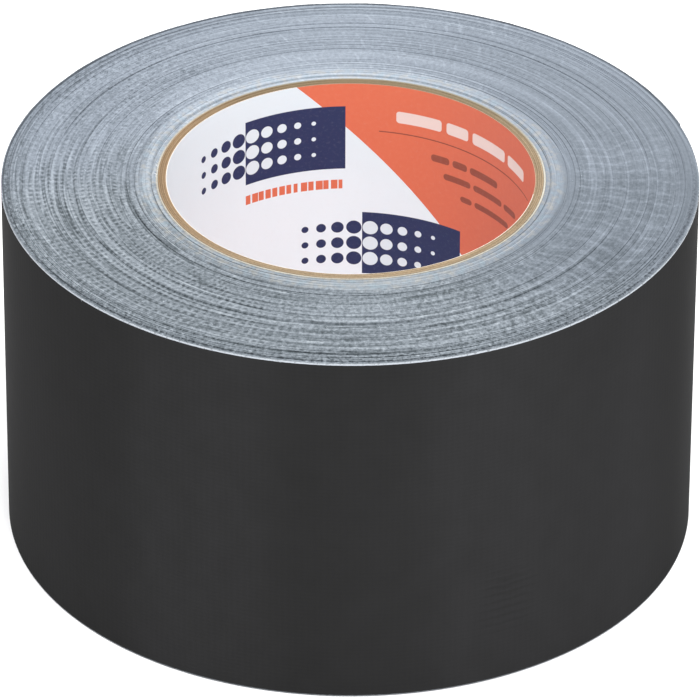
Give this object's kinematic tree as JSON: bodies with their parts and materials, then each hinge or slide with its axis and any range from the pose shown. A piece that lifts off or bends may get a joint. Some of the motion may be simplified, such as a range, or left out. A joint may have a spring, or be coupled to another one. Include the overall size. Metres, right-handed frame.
{
  "type": "duct tape roll",
  "caption": "Wide roll of cloth-backed duct tape on a paperboard core with a printed liner and a free tail that peels off.",
  "frame": {"origin": "centre of the lower end face, on the core's axis", "axes": "+Z along the core's axis, up as the roll stands on its end face; the tape's cut end is 17 degrees from +X towards +Y"},
  "size_m": [0.1438, 0.1438, 0.08],
  "materials": {
    "tape_film": "satin",
    "tape_scrim": "woven",
    "tape_adhesive": "tacky",
    "wound_tape": "matte",
    "core_board": "matte",
    "label_paper": "satin"
  },
  "bodies": {
    "roll": {"core_inner_ply": "core_board", "core_second_ply": "core_board", "core_middle_ply": "core_board", "core_fourth_ply": "core_board", "core_outer_ply": "core_board", "core_label": "label_paper", "tape_pack": "wound_tape", "last_turn_film": "tape_film", "last_turn_scrim": "tape_scrim", "last_turn_adhesive": "tape_adhesive"},
    "tail_1": {"tail_1_film": "tape_film", "tail_1_scrim": "tape_scrim", "tail_1_adhesive": "tape_adhesive"},
    "tail_2": {"tail_2_film": "tape_film", "tail_2_scrim": "tape_scrim", "tail_2_adhesive": "tape_adhesive"},
    "tail_3": {"tail_3_film": "tape_film", "tail_3_scrim": "tape_scrim", "tail_3_adhesive": "tape_adhesive"},
    "tail_4": {"tail_4_film": "tape_film", "tail_4_scrim": "tape_scrim", "tail_4_adhesive": "tape_adhesive"}
  },
  "joints": [
    {"name": "tail_bend_1", "type": "hinge", "parent": "roll", "child": "tail_1", "pos_m": [0.03918, 0.0604, 0.04], "axis": [0, 0, 1], "range_deg": [0, 35]},
    {"name": "tail_bend_2", "type": "hinge", "parent": "tail_1", "child": "tail_2", "pos_m": [0.04907, 0.05267, 0.04], "axis": [0, 0, 1], "range_deg": [0, 35]},
    {"name": "tail_bend_3", "type": "hinge", "parent": "tail_2", "child": "tail_3", "pos_m": [0.05747, 0.04335, 0.04], "axis": [0, 0, 1], "range_deg": [0, 35]},
    {"name": "tail_bend_4", "type": "hinge", "parent": "tail_3", "child": "tail_4", "pos_m": [0.06412, 0.0327, 0.04], "axis": [0, 0, 1], "range_deg": [0, 35]}
  ],
  "couplings": [
    {"joint": "tail_bend_2", "follows": "tail_bend_1", "ratio": 1},
    {"joint": "tail_bend_3", "follows": "tail_bend_1", "ratio": 1},
    {"joint": "tail_bend_4", "follows": "tail_bend_1", "ratio": 1}
  ]
}
